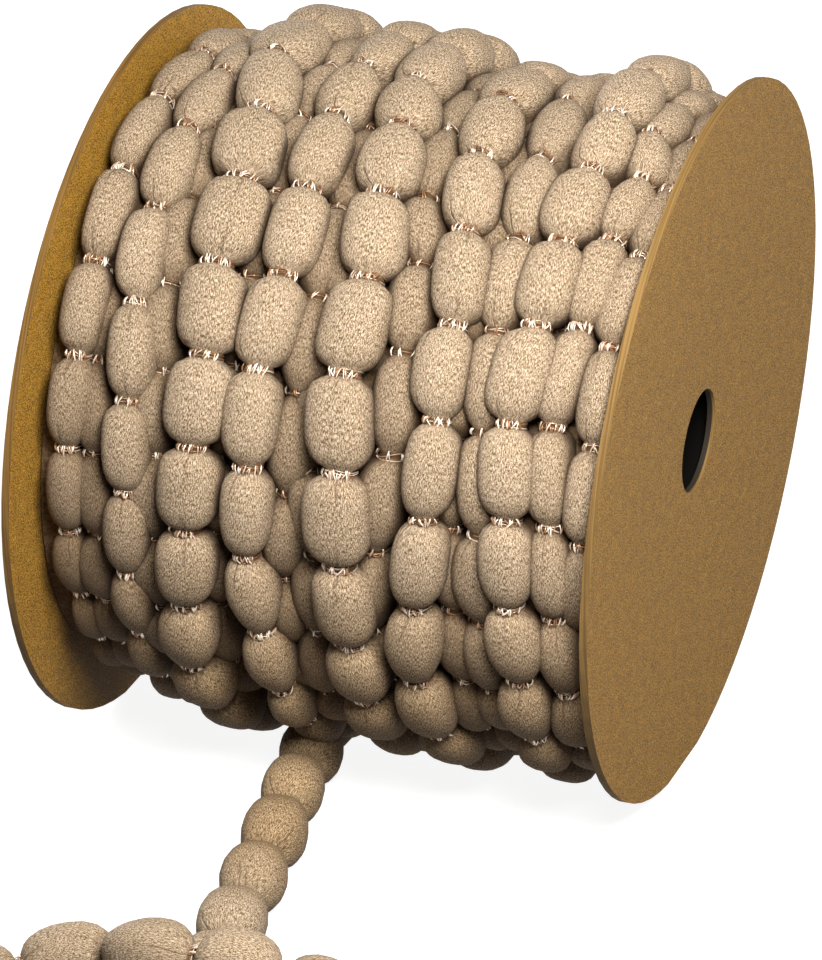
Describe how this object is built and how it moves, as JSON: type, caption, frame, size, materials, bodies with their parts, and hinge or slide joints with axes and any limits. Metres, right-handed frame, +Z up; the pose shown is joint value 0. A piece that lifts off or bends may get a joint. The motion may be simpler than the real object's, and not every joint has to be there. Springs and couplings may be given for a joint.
{
  "type": "spool of bobble cord",
  "caption": "Board spool with two dished round flanges and a centre hole, wound with soft beaded bobble cord whose loose end lies on the surface in front.",
  "frame": {"origin": "on the surface the spool stands on, under the middle of the spool", "axes": "+X along the spool's axis towards the right flange, +Z up, -Y the front, where the loose end runs out"},
  "size_m": [0.0862, 0.1664, 0.0896],
  "materials": {
    "board": "uncoated kraft board, slightly fibrous",
    "yarn": "soft brushed beads pinched by a fine shiny thread"
  },
  "bodies": {
    "root": {"flange_left": "board", "flange_right": "board", "winding": "yarn", "loose_end": "yarn"}
  },
  "joints": []
}
